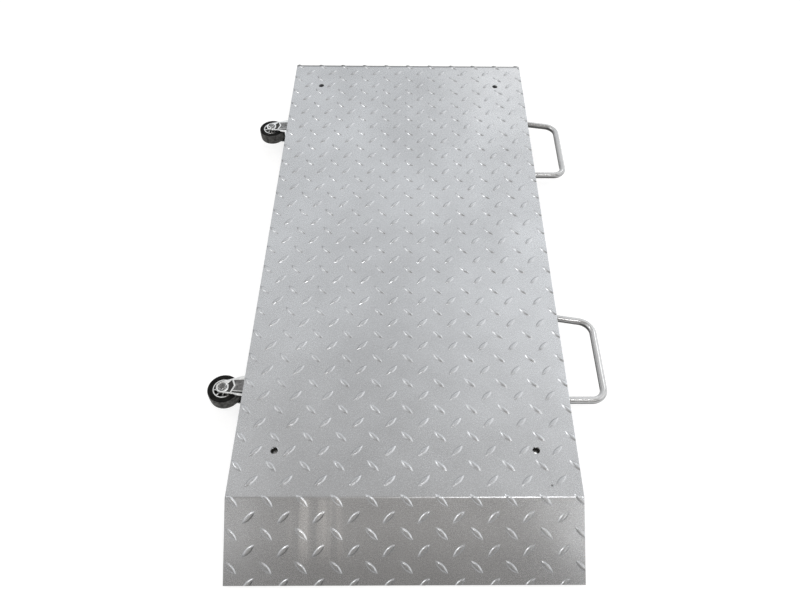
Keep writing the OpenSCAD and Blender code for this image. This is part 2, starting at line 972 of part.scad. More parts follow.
module rear_caster_bracket() {
    caster_bracket(1);
}

// Bolts that fix the casters to the left rail.
module caster_bolts() {
    tail = bolt_tail_share * caster_bolt_head;
    color(zinc)
    at_caster_bolts() {
        translate([0, 0, caster_plate])
            hexagon(caster_bolt_flats, caster_bolt_head);
        translate([0, 0, -channel_wall - tail])
            cylinder(d = caster_bolt_d, h = channel_wall + tail + caster_plate);
    }
}

module caster_nuts() {
    color(zinc)
    at_caster_bolts()
        translate([0, 0, -channel_wall - caster_bolt_head])
            difference() {
                hexagon(caster_bolt_flats, caster_bolt_head);
                translate([0, 0, -cut_over])
                    cylinder(r = caster_bolt_d / 2 + thread_fit, h = caster_bolt_head + 2 * cut_over);
            }
}

// Places its children at a caster's axle, at the wheel's middle.
module at_axle(end) {
    translate([axle_x, end * caster_position, wheel_z])
        children();
}

// Axle bolt: its head lies in the upper leg's pressed rim.
module axle_bolt(end) {
    shank = 2 * fork_outer + bolt_tail_share * axle_head;
    color(zinc)
    at_axle(end) {
        translate([0, 0, fork_outer])
            hexagon(axle_flats, axle_head);
        translate([0, 0, fork_outer - shank])
            cylinder(d = axle_d, h = shank);
    }
}

module front_axle_bolt() {
    axle_bolt(-1);
}

module rear_axle_bolt() {
    axle_bolt(1);
}

module axle_nut(end) {
    color(zinc)
    at_axle(end)
        translate([0, 0, -fork_outer - axle_head])
            difference() {
                hexagon(axle_flats, axle_head);
                translate([0, 0, -cut_over])
                    cylinder(r = axle_d / 2 + thread_fit, h = axle_head + 2 * cut_over);
            }
}

module front_axle_nut() {
    axle_nut(-1);
}

module rear_axle_nut() {
    axle_nut(1);
}

// Sleeve clamped between the legs: the wheel turns on it.
module axle_sleeve(end) {
    color(zinc)
    at_axle(end)
        translate([0, 0, -fork_half])
            difference() {
                cylinder(r = sleeve_r, h = 2 * fork_half);
                translate([0, 0, -cut_over])
                    cylinder(r = axle_d / 2 + thread_fit, h = 2 * (fork_half + cut_over));
            }
}

module front_axle_sleeve() {
    axle_sleeve(-1);
}

module rear_axle_sleeve() {
    axle_sleeve(1);
}

// Wheel core: rim, web, ribs and a boss that runs on the sleeve.
module wheel_core(end) {
    rim_height = wheel_width - 2 * wheel_gap;
    boss_height = 2 * fork_half - wheel_gap;
    color(grey_plastic)
    at_axle(end)
        difference() {
            union() {
                difference() {
                    cylinder(r = core_r, h = rim_height, center = true);
                    cylinder(r = core_r - core_rim, h = rim_height + 2 * cut_over, center = true);
                }
                cylinder(r = core_r - core_rim / 2, h = core_web, center = true);
                cylinder(d = core_boss_d, h = boss_height, center = true);
                for (place = [0:rib_count - 1])
                    rotate([0, 0, 360 * place / rib_count])
                        translate([0, -core_rib / 2, -rib_share * wheel_width / 2])
                            cube([core_r - core_rim / 2, core_rib, rib_share * wheel_width]);
            }
            cylinder(r = sleeve_r + running_fit, h = boss_height + 2 * cut_over, center = true);
        }
}

module front_wheel_core() {
    wheel_core(-1);
}

module rear_wheel_core() {
    wheel_core(1);
}

// Rubber tyre on the wheel core.
module tyre(end) {
    half = wheel_width / 2;
    color(black_rubber)
    at_axle(end)
        rotate_extrude() {
            translate([core_r, -half])
                square([wheel_d / 2 - core_r - tyre_round, wheel_width]);
            translate([core_r, tyre_round - half])
                square([wheel_d / 2 - core_r, wheel_width - 2 * tyre_round]);
            for (side = [-1, 1])
                translate([wheel_d / 2 - tyre_round, side * (half - tyre_round)])
                    circle(r = tyre_round);
        }
}

module front_tyre() {
    tyre(-1);
}

module rear_tyre() {
    tyre(1);
}

in_frame() deck_plate();
in_frame() left_side_rail();
in_frame() right_side_rail();
in_frame() front_end_channel();
in_frame() rear_end_channel();
in_frame() front_cross_member();
in_frame() centre_cross_member();
in_frame() rear_cross_member();
in_frame() ramp_gussets();
in_frame() front_handle();
in_frame() rear_handle();
in_frame() front_left_pad();
in_frame() front_right_pad();
in_frame() rear_left_pad();
in_frame() rear_right_pad();
in_frame() front_left_cell();
in_frame() front_right_cell();
in_frame() rear_left_cell();
in_frame() rear_right_cell();
in_frame() cell_bolts();
in_frame() cell_washers();
in_frame() lock_nuts();
in_frame() junction_box();
in_frame() box_gasket();
in_frame() box_lid();
in_frame() lid_screws();
in_frame() summing_board();
in_frame() terminal_blocks();
in_frame() cable_glands();
in_frame() box_studs();
in_frame() front_caster_bracket();
in_frame() rear_caster_bracket();
in_frame() caster_bolts();
in_frame() caster_nuts();
in_frame() front_axle_bolt();
in_frame() rear_axle_bolt();
in_frame() front_axle_nut();
in_frame() rear_axle_nut();
in_frame() front_axle_sleeve();
in_frame() rear_axle_sleeve();
in_frame() front_wheel_core();
in_frame() rear_wheel_core();
in_frame() front_tyre();
in_frame() rear_tyre();
in_frame() front_left_stud();
in_frame() front_right_stud();
in_frame() rear_left_stud();
in_frame() rear_right_stud();
in_frame() front_left_cup();
in_frame() front_right_cup();
in_frame() rear_left_cup();
in_frame() rear_right_cup();
in_frame() front_left_foot_pad();
in_frame() front_right_foot_pad();
in_frame() rear_left_foot_pad();
in_frame() rear_right_foot_pad();
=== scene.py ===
import json
import math

import bmesh
import bpy
from mathutils import Matrix, Vector


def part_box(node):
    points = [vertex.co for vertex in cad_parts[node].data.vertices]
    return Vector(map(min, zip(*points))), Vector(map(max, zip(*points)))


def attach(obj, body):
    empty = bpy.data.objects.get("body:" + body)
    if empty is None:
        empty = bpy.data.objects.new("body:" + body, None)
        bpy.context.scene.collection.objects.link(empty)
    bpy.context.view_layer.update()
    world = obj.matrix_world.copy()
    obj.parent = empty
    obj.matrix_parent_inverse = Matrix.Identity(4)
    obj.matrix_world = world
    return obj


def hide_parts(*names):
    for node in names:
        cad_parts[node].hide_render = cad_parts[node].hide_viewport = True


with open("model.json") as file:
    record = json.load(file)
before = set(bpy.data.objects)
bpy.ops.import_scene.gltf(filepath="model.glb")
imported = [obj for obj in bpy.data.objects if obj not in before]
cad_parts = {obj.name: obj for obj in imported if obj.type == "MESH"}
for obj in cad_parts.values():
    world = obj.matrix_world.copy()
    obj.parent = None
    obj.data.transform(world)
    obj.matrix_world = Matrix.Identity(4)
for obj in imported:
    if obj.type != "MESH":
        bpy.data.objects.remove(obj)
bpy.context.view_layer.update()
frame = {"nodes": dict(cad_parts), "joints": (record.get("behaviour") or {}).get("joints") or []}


# The viewpoint: a picture taken standing at the ramp's end, with the camera held at chest height
# and tipped down along the deck. Its angles were fitted to the deck's corners and access holes.
photo_width = 800
photo_height = 591
focal_pixels = 682
axis_pixel = (421, 312)
view_place = Vector((0.010, -0.963, 1.185))
view_tip = math.radians(36.03)
view_yaw = math.radians(-1.35)
view_roll = math.radians(1.21)

camera_data = bpy.data.cameras.new("viewpoint")
camera_data.sensor_width = 36
camera_data.lens = focal_pixels / photo_width * camera_data.sensor_width
camera_data.shift_x = (photo_width / 2 - axis_pixel[0]) / photo_width
camera_data.shift_y = (axis_pixel[1] - photo_height / 2) / photo_width
camera = bpy.data.objects.new("viewpoint", camera_data)
camera.matrix_world = (Matrix.Translation(view_place) @ Matrix.Rotation(view_yaw, 4, "Z")
                       @ Matrix.Rotation(view_tip, 4, "X") @ Matrix.Rotation(view_roll, 4, "Z"))
bpy.context.scene.collection.objects.link(camera)
bpy.context.scene.camera = camera
bpy.context.scene.view_settings.view_transform = "Standard"


# The floor: a wide white sheet of studio paper that the platform stands on. It shows white to the
# eye and in reflections, and it keeps a soft shadow of the platform.
floor_size = 14.0
floor_grey = (0.80, 0.80, 0.80, 1)
floor_glow = 0.77
floor_share = 0.45


def add_node(tree, kind, inputs=None, **settings):
    """Adds one shader node, sets it up and links or sets its inputs by name or number."""
    made = tree.nodes.new(kind)
    for setting, value in settings.items():
        setattr(made, setting, value)
    for socket, value in (inputs or {}).items():
        if isinstance(value, bpy.types.NodeSocket):
            tree.links.new(value, made.inputs[socket])
        else:
            made.inputs[socket].default_value = value
    return made


def begin_finish(name):
    """Starts an empty node material and returns it with its tree and its output node."""
    finish = bpy.data.materials.new(name)
    finish.use_nodes = True
    finish.node_tree.nodes.clear()
    return finish, finish.node_tree, finish.node_tree.nodes.new("ShaderNodeOutputMaterial")


def begin_piece(name, primitive, **how):
    """Adds one primitive with nothing else selected, puts its place into its mesh and names it."""
    bpy.ops.object.select_all(action="DESELECT")
    primitive(**how)
    bpy.ops.object.transform_apply(location=True, rotation=True, scale=True)
    piece = bpy.context.object
    piece.name = name
    piece.data.name = name
    return piece


floor = begin_piece("floor", bpy.ops.mesh.primitive_plane_add, size=floor_size)
floor_paper, tree, output = begin_finish("floor_paper")
light_path = add_node(tree, "ShaderNodeLightPath")
seen = add_node(tree, "ShaderNodeMath", {0: light_path.outputs["Is Camera Ray"],
                                         1: light_path.outputs["Is Glossy Ray"]}, operation="MAXIMUM")
seen = add_node(tree, "ShaderNodeMath", {0: seen.outputs[0], 1: light_path.outputs["Is Transmission Ray"]},
                operation="MAXIMUM")
paper = add_node(tree, "ShaderNodeBsdfDiffuse", {"Color": floor_grey})
glow_level = add_node(tree, "ShaderNodeMath", {0: seen.outputs[0], 1: floor_glow}, operation="MULTIPLY")
glow = add_node(tree, "ShaderNodeEmission", {"Strength": glow_level.outputs[0]})
blank = add_node(tree, "ShaderNodeBsdfDiffuse", {"Color": (0, 0, 0, 1)})
dimmed = add_node(tree, "ShaderNodeMixShader", {0: floor_share, 1: blank.outputs[0], 2: paper.outputs[0]})
lit = add_node(tree, "ShaderNodeAddShader", {0: dimmed.outputs[0], 1: glow.outputs[0]})
tree.links.new(lit.outputs[0], output.inputs["Surface"])
floor.data.materials.append(floor_paper)


# The light: a dim pale room with soft bright patches where its windows are, over the rear end and low
# behind it, at both sides, overhead and behind the camera. Four soft lamps add to it, one overhead,
# one at the left and two behind the camera.
room_levels = ((0.30, 0.07, 0.0), (0.50, 0.09, 0.0), (0.85, 0.12, 0.06), (1.0, 0.20, 0.10))
room_patches = (
    ((0.05, 0.80, 0.60), 37, 0.78, -0.025),
    ((-0.42, 0.68, 0.60), 26, 0.31, -0.02),
    ((-0.52, 0.28, 0.80), 31, 0.58, 0.0),
    ((0.42, 0.60, 0.68), 26, 0.38, -0.02),
    ((0.58, 0.28, 0.76), 37, 0.76, -0.01),
    ((0.84, -0.20, 0.50), 32, 1.36, 0.0),
    ((-0.80, -0.06, 0.60), 34, 1.32, 0.0),
    ((0.0, -0.72, 0.70), 40, 0.17, 0.12),
    ((0.12, -0.40, 0.91), 14, 0.50, 0.05),
    ((0.14, 0.84, 0.52), 5.0, 2.00, 0.03),
    ((0.28, 0.94, 0.17), 18, 0.76, 0.0),
    ((0.72, 0.66, 0.14), 20, 1.85, 0.0),
    ((0.94, 0.28, 0.14), 20, 1.45, 0.0),
    ((-0.60, 0.78, 0.15), 22, 0.36, 0.0),
    ((0.0, 0.74, 0.67), 13, 0.08, -0.02),
    ((0.62, 0.52, 0.59), 9, 1.60, 0.0),
    ((0.46, 0.51, 0.72), 6, 4.00, 0.0),
    ((0.24, 0.05, 0.97), 15, 0.45, 0.0),
)
lamps = (
    ("overhead_lamp", (0.72, -1.30, 3.0), (0.85, 0.4), 12, (0.15, -0.30, 0.0)),
    ("left_lamp", (-2.2, 0.0, 2.6), (0.5, 0.5), 7.5, (0.0, 0.0, 0.0)),
    ("right_back_lamp", (1.6, -2.8, 2.3), (1.0, 0.8), 6, (0.2, -0.6, 0.0)),
    ("left_back_lamp", (-1.6, -2.8, 2.3), (1.0, 0.8), 2.5, (-0.2, -0.6, 0.0)),
)

room = bpy.data.worlds.new("pale_room")
bpy.context.scene.world = room
room.use_nodes = True
room.node_tree.nodes.clear()
tree = room.node_tree
towards = add_node(tree, "ShaderNodeTexCoord").outputs["Generated"]
split = add_node(tree, "ShaderNodeSeparateXYZ", {"Vector": towards})
height = add_node(tree, "ShaderNodeMapRange", {"Value": split.outputs["Z"], "From Min": -1.0})
level = add_node(tree, "ShaderNodeValToRGB", {"Fac": height.outputs["Result"]})
while len(level.color_ramp.elements) < len(room_levels):
    level.color_ramp.elements.new(0.5)
for stop, (place, grey, warmth) in zip(level.color_ramp.elements, room_levels):
    stop.position = place
    stop.color = (grey * (1 + warmth), grey, grey * (1 - warmth), 1)
room_glow = add_node(tree, "ShaderNodeBackground", {"Color": level.outputs["Color"]})
for middle, spread, strength, warmth in room_patches:
    nearness = add_node(tree, "ShaderNodeVectorMath", {0: towards, 1: Vector(middle).normalized()},
                        operation="DOT_PRODUCT")
    amount = add_node(tree, "ShaderNodeMapRange", {
        "Value": nearness.outputs["Value"], "From Min": math.cos(math.radians(spread)), "To Max": strength},
        interpolation_type="SMOOTHSTEP")
    patch = add_node(tree, "ShaderNodeBackground", {"Color": (1 + warmth, 1, 1 - warmth, 1),
                                                   "Strength": amount.outputs["Result"]})
    room_glow = add_node(tree, "ShaderNodeAddShader", {0: room_glow.outputs[0], 1: patch.outputs[0]})
add_node(tree, "ShaderNodeOutputWorld", {"Surface": room_glow.outputs[0]})

for name, place, size, power, target in lamps:
    lamp_data = bpy.data.lights.new(name, "AREA")
    lamp_data.shape = "RECTANGLE"
    lamp_data.size, lamp_data.size_y = size
    lamp_data.energy = power
    lamp = bpy.data.objects.new(name, lamp_data)
    lamp.location = place
    lamp.rotation_euler = (Vector(target) - Vector(place)).to_track_quat("-Z", "Y").to_euler()
    bpy.context.scene.collection.objects.link(lamp)


# The frame under the deck: folded steel channels, ribs under the ramp and pads for the load cells,
# welded together and sprayed with one coat of silver-grey paint that dried to a fine grain.
paint_light = (0.560, 0.574, 0.592, 1)
paint_dark = (0.478, 0.488, 0.502, 1)
paint_metal = 0.65
paint_rough = (0.20, 0.30)
paint_speckle = 0.40
paint_stops = (0.30, 0.70)
paint_clouds = (7.0, 3.0, 0.6)
paint_specks = (220.0, 2.0)
paint_grain = (1100.0, 1.0)
paint_wave = (9.0, 1.0)
paint_wave_depth = (0.25, 0.004)
paint_peel = (420.0, 2.0)
paint_peel_depth = (0.12, 0.0006)
noise_span = (0.3, 0.7)


def noise(tree, place, scale, detail=2.0, roughness=0.5):
    """Adds one noise pattern and returns its level."""
    return add_node(tree, "ShaderNodeTexNoise", {"Vector": place, "Scale": scale, "Detail": detail,
                                                 "Roughness": roughness}).outputs["Fac"]


def shade_between(tree, level, stops, shades):
    """Turns a pattern's level into a colour between two shades."""
    shade = add_node(tree, "ShaderNodeValToRGB", {"Fac": level})
    for stop, position, colour in zip(shade.color_ramp.elements, stops, shades):
        stop.position = position
        stop.color = colour
    return shade.outputs["Color"]


def gloss_between(tree, level, start, end):
    """Turns a noise pattern's level into a roughness."""
    return add_node(tree, "ShaderNodeMapRange", {
        "Value": level, "From Min": noise_span[0], "From Max": noise_span[1], "To Min": start,
        "To Max": end}).outputs["Result"]


def relief(tree, level, strength, depth, under=None):
    """Raises a surface by a pattern's level, over the relief that it already has."""
    raised = add_node(tree, "ShaderNodeBump", {"Height": level, "Strength": strength, "Distance": depth})
    if under is not None:
        tree.links.new(under, raised.inputs["Normal"])
    return raised.outputs["Normal"]


def paint_finish(name, wear=None, shades=(paint_dark, paint_light), metal=paint_metal, rough=paint_rough):
    """Silver-grey paint: a cloudy speckled shade, grain in its gloss, a slow wave and fine orange peel."""
    finish, tree, output = begin_finish(name)
    place = add_node(tree, "ShaderNodeTexCoord").outputs["Object"]
    cloud = noise(tree, place, *paint_clouds)
    speck = noise(tree, place, *paint_specks)
    speckled = add_node(tree, "ShaderNodeMath", {0: speck, 1: paint_speckle, 2: cloud},
                        operation="MULTIPLY_ADD")
    stops = [stop + paint_speckle / 2 for stop in paint_stops]
    colour = shade_between(tree, speckled.outputs[0], stops, shades)
    if wear:
        colour = wear(tree, place, colour)
    waved = relief(tree, noise(tree, place, *paint_wave), *paint_wave_depth)
    coat = add_node(tree, "ShaderNodeBsdfPrincipled", {
        "Base Color": colour, "Metallic": metal,
        "Roughness": gloss_between(tree, noise(tree, place, *paint_grain), *rough),
        "Normal": relief(tree, noise(tree, place, *paint_peel), *paint_peel_depth, waved)})
    tree.links.new(coat.outputs[0], output.inputs["Surface"])
    return finish


def dress(nodes, finish):
    """Gives solids that keep their own shape a finish."""
    for node in nodes:
        for spot in frame["nodes"][node].material_slots:
            spot.material = finish


silver_paint = paint_finish("silver_paint")
dress(("left_side_rail", "right_side_rail", "front_end_channel", "rear_end_channel", "front_cross_member",
       "centre_cross_member", "rear_cross_member", "ramp_gussets", "front_left_pad", "front_right_pad",
       "rear_left_pad", "rear_right_pad"), silver_paint)


# The deck: one sheet of steel plate, folded down to the ramp at the front and to a skirt at the
# rear, drilled with four access holes over the feet, and painted with the frame.
_, deck_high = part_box("deck_plate")
deck_length = 1.210
plate = 0.004
fold_outer = 0.008
ramp_run = 0.122
ramp_drop = 0.076
skirt_height = 0.062
fold_steps = 10
hole_radius = 0.0065
hole_sides = 40
hole_places = [(x, y) for x in (-0.228, 0.228) for y in (-0.460, 0.572)]
edge_bevel = 0.0007
# The ramp darkens towards its tip.
tip_darkening = (0.066, 0.006, 0.0, 0.24)
# The rear fold darkens to a thin dark line along the deck's far edge.
rear_fold_darkening = (0.6530, 0.6555, 0.0, 0.55)
# The ramp is paler in vertical streaks near its left side.
pale_streak_along = (-0.551, -0.543, 1.0, 0.0)
pale_streak_middle = -0.148
pale_streak_reach = (0.028, 0.052, 0.46, 0.0)
pale_streak_height = (0.018, 0.044, 0.0, 1.0)
pale_streak_colour = (0.92, 0.92, 0.92, 1)
streak_stretch = (58.0, 4.0, 4.0)
streak_levels = (0.42, 0.66, 0.0, 1.0)
# One dark colour serves the paint chips, the darkened tip and rear fold, and the painted shade on the lugs.
wear_and_shade_colour = (0.045, 0.045, 0.043, 1)
chips = ((0.248, -0.524, 0.0032), (0.133, 0.621, 0.0030), (0.187, 0.612, 0.0026), (-0.083, 0.547, 0.0022))
chip_ragged = 420.0
chip_fade = 1.3
chip_depth = 0.9
# Painted reflection: the ramp lugs' sides that face down the ramp and to the right are darkened, more at the
# left, for the dark surroundings they reflect.
lug_shade_side = Vector((0.50, -0.80, 0.34))
lug_shade_beyond = (0.88, 0.975, 0.0, 0.80)
lug_shade_below = (0.074, 0.080, 1.0, 0.0)
lug_shade_across = (-0.16, 0.16, 1.0, 0.30)

deck_half = deck_high.x
deck_top = deck_high.z
fold_y = deck_high.y - deck_length
ramp_slope = math.atan2(ramp_drop, ramp_run)
ramp_tangent = fold_outer * math.tan(ramp_slope / 2)
ramp_straight = math.hypot(ramp_run, ramp_drop) - ramp_tangent
flat_front = fold_y + ramp_tangent
flat_rear = deck_high.y - fold_outer
fold_axis_z = deck_top - fold_outer


def fade(tree, value, low, high, start, end):
    """Maps a value that varies over a surface smoothly from one range to another."""
    span = {"Value": value, "From Min": low, "From Max": high, "To Min": start, "To Max": end}
    return add_node(tree, "ShaderNodeMapRange", span, interpolation_type="SMOOTHSTEP").outputs["Result"]


def times(tree, first, *others):
    """Multiplies levels that vary over a surface."""
    for other in others:
        first = add_node(tree, "ShaderNodeMath", {0: first, 1: other}, operation="MULTIPLY").outputs[0]
    return first


def facing(tree, side):
    """Says how far a surface faces one side."""
    normal = add_node(tree, "ShaderNodeNewGeometry").outputs["Normal"]
    return add_node(tree, "ShaderNodeVectorMath", {0: normal, 1: side.normalized()},
                    operation="DOT_PRODUCT").outputs["Value"]


def blend_shades(tree, amount, colour, other):
    """Mixes a second colour into a first one by an amount that varies over a surface."""
    return add_node(tree, "ShaderNodeMix", {0: amount, 6: colour, 7: other}, data_type="RGBA").outputs[2]


def deck_wear_and_shade(tree, place, colour):
    """Pales the ramp in streaks, darkens its tip and the rear fold, paints shade on the ramp lugs' lower
    sides, and chips the paint.
    """
    parts = add_node(tree, "ShaderNodeSeparateXYZ", {"Vector": place})
    across, along, height = (parts.outputs[axis] for axis in "XYZ")
    drawn = add_node(tree, "ShaderNodeVectorMath", {0: place, 1: streak_stretch}, operation="MULTIPLY")
    streak = noise(tree, drawn.outputs[0], 1.0)
    aside = add_node(tree, "ShaderNodeMath", {0: across, 1: pale_streak_middle}, operation="SUBTRACT")
    aside = add_node(tree, "ShaderNodeMath", {0: aside.outputs[0]}, operation="ABSOLUTE")
    pale_streaks = times(tree, fade(tree, streak, *streak_levels), fade(tree, along, *pale_streak_along),
                   fade(tree, aside.outputs[0], *pale_streak_reach), fade(tree, height, *pale_streak_height))
    lug_shade = times(tree, fade(tree, facing(tree, lug_shade_side), *lug_shade_beyond),
                   fade(tree, height, *lug_shade_below), fade(tree, across, *lug_shade_across))
    colour = blend_shades(tree, pale_streaks, colour, pale_streak_colour)
    for darkening in (fade(tree, height, *tip_darkening), fade(tree, along, *rear_fold_darkening), lug_shade):
        colour = blend_shades(tree, darkening, colour, wear_and_shade_colour)
    ragged = noise(tree, place, chip_ragged)
    for x, y, radius in chips:
        away = add_node(tree, "ShaderNodeVectorMath", {0: place, 1: (x, y, deck_top)}, operation="DISTANCE")
        edge = add_node(tree, "ShaderNodeMath", {0: ragged, 1: radius, 2: away.outputs["Value"]},
                        operation="MULTIPLY_ADD")
        chip = fade(tree, edge.outputs[0], radius, chip_fade * radius, chip_depth, 0.0)
        colour = blend_shades(tree, chip, colour, wear_and_shade_colour)
    return colour


def pick(piece, parts, test):
    """In edit mode, selects only the vertices, edges or faces that pass the test, given their middle."""
    bpy.ops.mesh.select_mode(type={"verts": "VERT", "edges": "EDGE", "faces": "FACE"}[parts])
    bpy.ops.mesh.select_all(action="DESELECT")
    shape = bmesh.from_edit_mesh(piece.data)
    for part in getattr(shape, parts):
        corners = [part] if parts == "verts" else part.verts
        if test(sum((corner.co for corner in corners), Vector()) / len(corners), part):
            part.select_set(True)
    shape.select_flush_mode()
    bmesh.update_edit_mesh(piece.data)


def push(x=0.0, y=0.0, z=0.0):
    """Extrudes what is selected along one vector."""
    bpy.ops.mesh.extrude_region_move(TRANSFORM_OT_translate={"value": (x, y, z)})


def apply_modifier(piece, kind, **settings):
    """Adds one modifier with its settings and applies it."""
    bpy.context.view_layer.objects.active = piece
    added = piece.modifiers.new(kind.lower(), kind)
    for setting, value in settings.items():
        setattr(added, setting, value)
    bpy.ops.object.modifier_apply(modifier=added.name)


def bevel_edges(piece, width, segments=2, angle=40):
    """Rounds the sharp edges of a piece."""
    apply_modifier(piece, "BEVEL", width=width, segments=segments, limit_method="ANGLE",
                   angle_limit=math.radians(angle))


def join_pieces(pieces):
    """Joins pieces into the first one."""
    bpy.ops.object.select_all(action="DESELECT")
    for piece in pieces:
        piece.select_set(True)
    bpy.context.view_layer.objects.active = pieces[0]
    bpy.ops.object.join()
    return pieces[0]


def hand_over(piece, finish, body, nodes=(), smooth=35):
    """Smooths a finished piece, gives it its finish and sets it on its body."""
    bpy.ops.object.select_all(action="DESELECT")
    piece.select_set(True)
    bpy.context.view_layer.objects.active = piece
    bpy.ops.object.shade_smooth_by_angle(angle=math.radians(smooth))
    apply_modifier(piece, "WEIGHTED_NORMAL", keep_sharp=True)
    piece.data.materials.clear()
    piece.data.materials.append(finish)
    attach(piece, body)
    if nodes:
        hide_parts(*nodes)


# The deck's paint also carries painted shade on the ramp lugs' lower sides.
deck_paint_and_shade = paint_finish("deck_paint_and_shade", deck_wear_and_shade)
deck_sheet = begin_piece("deck_sheet", bpy.ops.mesh.primitive_plane_add, size=2 * deck_half,
                         location=(0, (flat_front + flat_rear) / 2, deck_top))
bpy.ops.object.mode_set(mode="EDIT")
bpy.ops.transform.resize(value=(1, (flat_rear - flat_front) / (2 * deck_half), 1),
                         center_override=(0, (flat_front + flat_rear) / 2, deck_top))
pick(deck_sheet, "edges", lambda middle, edge: middle.y < flat_front + edge_bevel)
bpy.ops.mesh.spin(steps=fold_steps, angle=-ramp_slope, center=(0, flat_front, fold_axis_z), axis=(1, 0, 0))
push(y=-ramp_straight * math.cos(ramp_slope), z=-ramp_straight * math.sin(ramp_slope))
pick(deck_sheet, "edges", lambda middle, edge: middle.y > flat_rear - edge_bevel)
bpy.ops.mesh.spin(steps=fold_steps, angle=math.pi / 2, center=(0, flat_rear, fold_axis_z), axis=(1, 0, 0))
push(z=-(skirt_height - fold_outer))
bpy.ops.mesh.select_all(action="SELECT")
bpy.ops.mesh.normals_make_consistent(inside=False)
bpy.ops.object.mode_set(mode="OBJECT")
apply_modifier(deck_sheet, "SOLIDIFY", thickness=plate, offset=-1.0, use_even_offset=True)

drill = join_pieces([begin_piece("drill", bpy.ops.mesh.primitive_cylinder_add, vertices=hole_sides,
                                 radius=hole_radius, depth=4 * plate, location=(x, y, deck_top))
                     for x, y in hole_places])
apply_modifier(deck_sheet, "BOOLEAN", operation="DIFFERENCE", object=drill)
bpy.data.objects.remove(drill)
bevel_edges(deck_sheet, edge_bevel)
hand_over(deck_sheet, deck_paint_and_shade, "platform", ["deck_plate"], smooth=24)


# The tread: lens-shaped lugs rolled into the sheet's face in two crossing rows, 30 mm long on a
# pitch of about 58 by 54 mm. They follow the folds and are cut off where the sheet was sheared.
lug_length = 0.030
lug_width = 0.0095
lug_rise = ((0.0013, 0.74, 0.716), (0.0004, 0.74, 0.588))
lug_root = 0.0008
lug_arc_steps = 40
lug_pitch_x = 0.0583
lug_pitch_y = 0.0545
lug_columns = 11
lug_fold_cuts = 3
deck_rows = 23
ramp_rows = 3
lug_rows = (
    (45, -0.260, fold_y + 1.2275, deck_rows),
    (45, -0.260, fold_y - 0.0326, ramp_rows),
    (-45, -0.28915, fold_y + 1.25475, deck_rows),
    (-45, -0.28915, fold_y - 0.0050, ramp_rows),
)
ramp_arc = fold_outer * ramp_slope
skirt_arc = fold_outer * math.pi / 2
sheet_front = flat_front - ramp_arc - ramp_straight
sheet_rear = flat_rear + skirt_arc + skirt_height - fold_outer


def copy_piece(piece, name):
    """Copies a piece with its own mesh and leaves the copy selected and active."""
    copied = piece.copy()
    copied.data = piece.data.copy()
    copied.name = name
    copied.data.name = name
    bpy.context.scene.collection.objects.link(copied)
    bpy.ops.object.select_all(action="DESELECT")
    copied.select_set(True)
    bpy.context.view_layer.objects.active = copied
    return copied


def trim(place, outward):
    """In edit mode, cuts off what lies beyond a plane and closes the cut."""
    bpy.ops.mesh.select_all(action="SELECT")
    bpy.ops.mesh.bisect(plane_co=place, plane_no=outward, use_fill=True, clear_outer=True)


def fold_over(point):
    """Moves a point from the sheet as it was rolled, flat at the deck's height, to the folded sheet."""
    rise = point.z - deck_top
    if point.y > flat_rear:
        past, arc, full, way = point.y - flat_rear, skirt_arc, math.pi / 2, 1
        start = flat_rear
    elif point.y < flat_front:
        past, arc, full, way = flat_front - point.y, ramp_arc, ramp_slope, -1
        start = flat_front
    else:
        return point
    turn = full * min(past / arc, 1)
    straight = max(past - arc, 0)
    reach = (fold_outer + rise) * math.sin(turn) + straight * math.cos(turn)
    height = (fold_outer + rise) * math.cos(turn) - straight * math.sin(turn)
    return Vector((point.x, start + way * reach, fold_axis_z + height))


lug_arc = (lug_length ** 2 / 4 + lug_width ** 2 / 4) / lug_width
lug = begin_piece("lug", bpy.ops.mesh.primitive_circle_add, vertices=lug_arc_steps, radius=lug_arc,
                  fill_type="NGON", location=(0, lug_width / 2 - lug_arc, 0))
bpy.ops.object.mode_set(mode="EDIT")
bpy.ops.mesh.select_all(action="SELECT")
bpy.ops.mesh.bisect(plane_co=(0, 0, 0), plane_no=(0, 1, 0), clear_inner=True)
bpy.ops.object.mode_set(mode="OBJECT")
apply_modifier(lug, "MIRROR", use_axis=(False, True, False), merge_threshold=lug_width / 100)
bpy.ops.object.mode_set(mode="EDIT")
bpy.ops.mesh.select_all(action="SELECT")
bpy.ops.mesh.normals_make_consistent(inside=False)
bpy.ops.transform.translate(value=(0, 0, -lug_root))
push(z=lug_root)
for rise, along, across in lug_rise:
    push(z=rise)
    bpy.ops.transform.resize(value=(along, across, 1), center_override=(0, 0, 0))
bpy.ops.mesh.select_all(action="SELECT")
bpy.ops.mesh.fill_holes(sides=0)
bpy.ops.mesh.normals_make_consistent(inside=False)
bpy.ops.object.mode_set(mode="OBJECT")

lug_groups = []
for turn, first_x, first_y, rows in lug_rows:
    group = copy_piece(lug, "lug_group")
    group.rotation_euler.z = math.radians(turn)
    group.location = (first_x, first_y, deck_top)
    bpy.ops.object.transform_apply(location=True, rotation=True, scale=True)
    apply_modifier(group, "ARRAY", count=lug_columns, use_relative_offset=False, use_constant_offset=True,
                   constant_offset_displace=(lug_pitch_x, 0, 0))
    apply_modifier(group, "ARRAY", count=rows, use_relative_offset=False, use_constant_offset=True,
                   constant_offset_displace=(0, -lug_pitch_y, 0))
    lug_groups.append(group)
bpy.data.objects.remove(lug)

